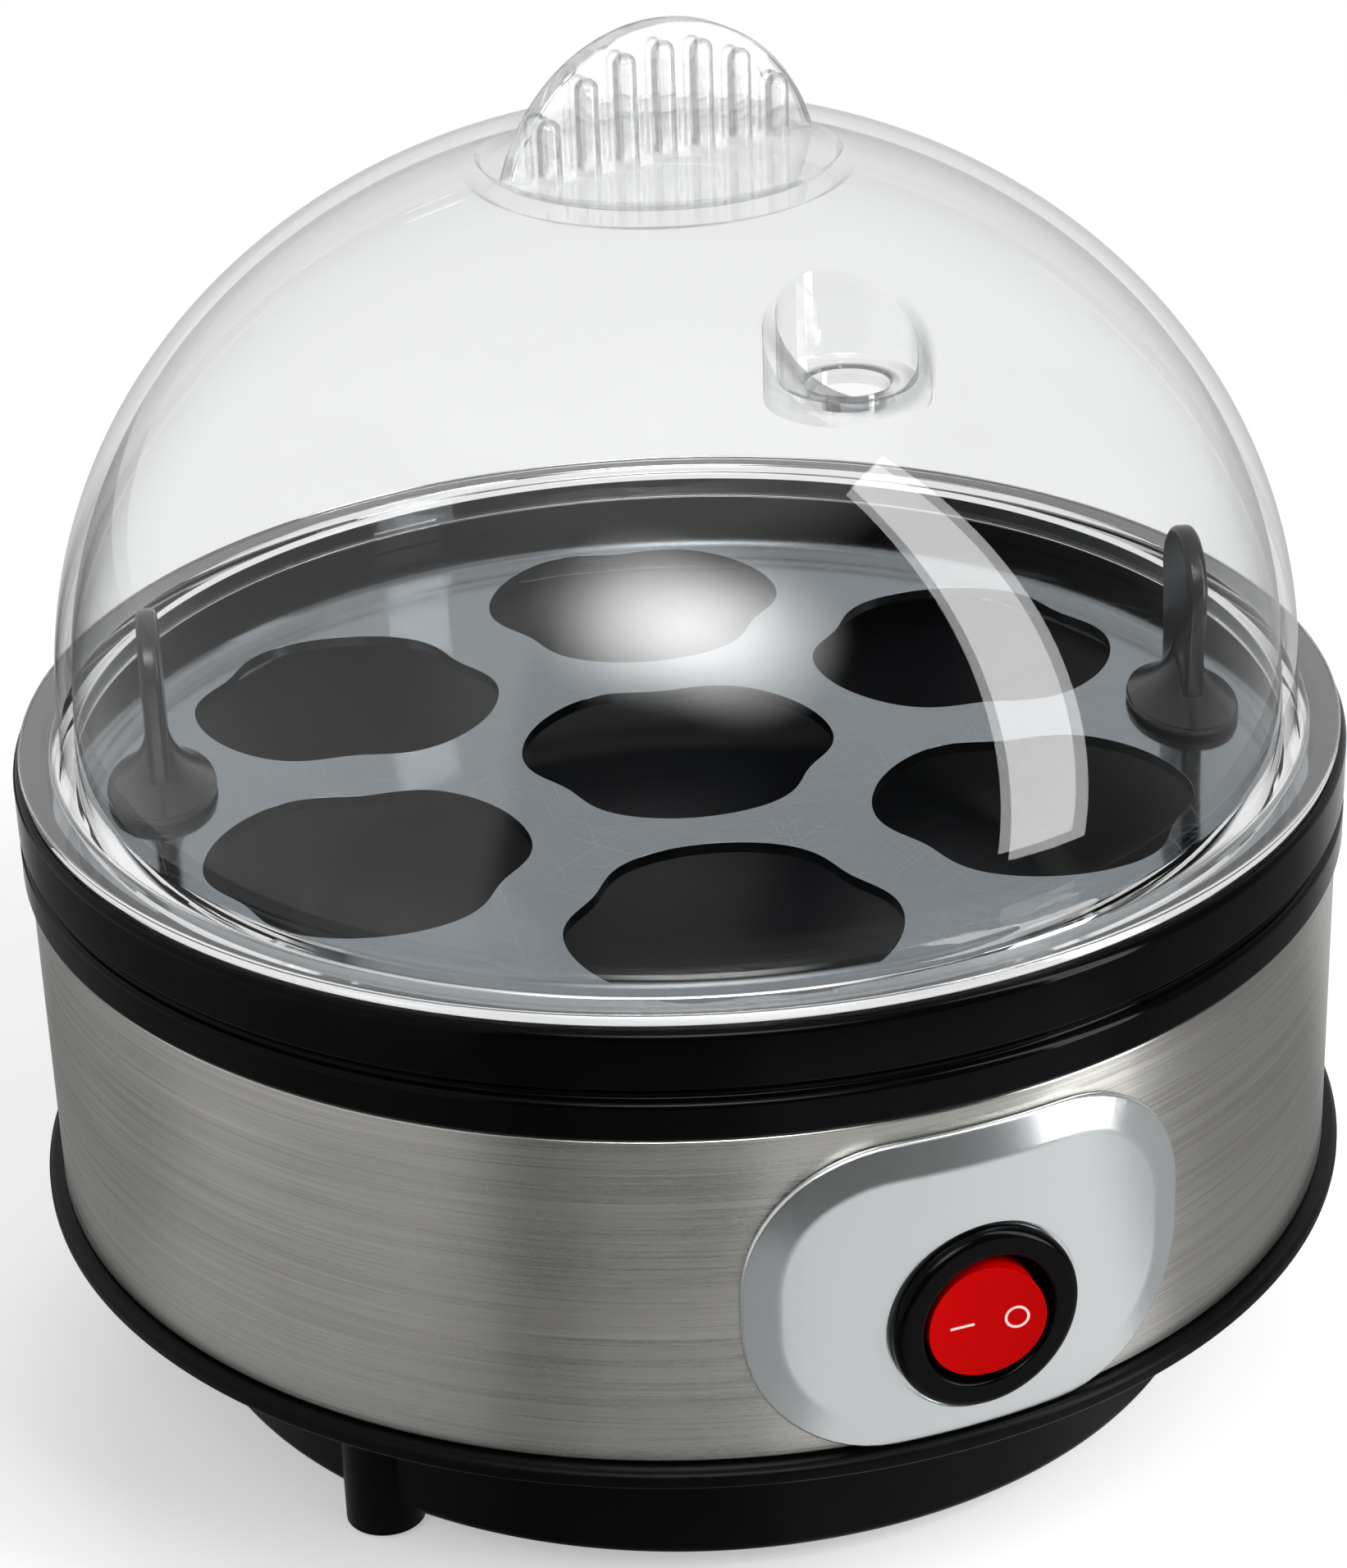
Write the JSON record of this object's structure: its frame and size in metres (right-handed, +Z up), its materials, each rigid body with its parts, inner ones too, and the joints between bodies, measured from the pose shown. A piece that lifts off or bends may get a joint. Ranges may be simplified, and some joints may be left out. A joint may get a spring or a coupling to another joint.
{
  "type": "electric egg boiler",
  "caption": "Round electric egg boiler: clear domed lid with ribbed fin handle and steam vent, scalloped egg tray with lift ears, brushed steel band, black base, rocker switch on an oval panel.",
  "frame": {"origin": "on the table, under the centre of the bounding box, which is the unit's own axis", "axes": "+Z up along the unit's axis; -Y out of the switch panel; +Y out of the cord gland at the back"},
  "size_m": [0.168, 0.1734, 0.1724],
  "materials": {
    "clear_plastic": "clear and polished",
    "gloss_black": "high gloss",
    "satin_black": "satin",
    "tray_metal": "polished, dark",
    "band_steel": "brushed round the unit",
    "pan_steel": "mirror polished",
    "plated_steel": "zinc plated",
    "aluminium": "cast",
    "silver_plastic": "silver paint, semi gloss",
    "red_plastic": "translucent, gloss",
    "rubber": "matt",
    "silicone": "matt",
    "brass": "plain",
    "element_sheath": "heat darkened",
    "ceramic": "glazed",
    "lamp_glass": "clear",
    "lead_sleeve": "matt"
  },
  "bodies": {
    "base": {"collar": "gloss_black", "steel_band": "band_steel", "base_shell": "satin_black", "boiling_pan": "pan_steel", "pan_gasket": "silicone", "heat_spreader": "aluminium", "heating_element": "element_sheath", "element_pin_left": "brass", "element_pin_right": "brass", "bridge_strap": "plated_steel", "pan_stud": "plated_steel", "stud_nut": "brass", "thermostat": "ceramic", "thermal_fuse": "ceramic", "switch_panel": "silver_plastic", "switch_housing": "gloss_black", "neon_lamp": "lamp_glass", "switch_blade_1": "brass", "switch_blade_2": "brass", "switch_blade_3": "brass", "cord_gland": "rubber", "connector_block": "ceramic", "lead_live_in": "lead_sleeve", "lead_live_out": "lead_sleeve", "lead_element": "lead_sleeve", "lead_neutral": "lead_sleeve", "base_screw_1": "plated_steel", "base_screw_2": "plated_steel", "base_screw_3": "plated_steel", "base_screw_4": "plated_steel", "foot_pad_1": "rubber", "foot_pad_2": "rubber", "foot_pad_3": "rubber"},
    "tray": {"egg_tray": "tray_metal", "tray_ear_right": "satin_black", "tray_ear_left": "satin_black", "ear_clip_right": "plated_steel", "ear_clip_left": "plated_steel"},
    "lid": {"lid": "clear_plastic"},
    "rocker": {"rocker": "red_plastic"}
  },
  "joints": [
    {"name": "lid_lift", "type": "slide", "parent": "base", "child": "lid", "axis": [0, 0, 1], "range_m": [0, 0.24]},
    {"name": "tray_lift", "type": "slide", "parent": "base", "child": "tray", "axis": [0, 0, 1], "range_m": [0, 0.12]},
    {"name": "rocker_tilt", "type": "hinge", "parent": "base", "child": "rocker", "pos_m": [0, -0.08084, 0.0444], "axis": [0, 0, 1], "range_deg": [0, 14]}
  ],
  "couplings": [
    {"joint": "tray_lift", "follows": "lid_lift", "ratio": 0.5}
  ]
}
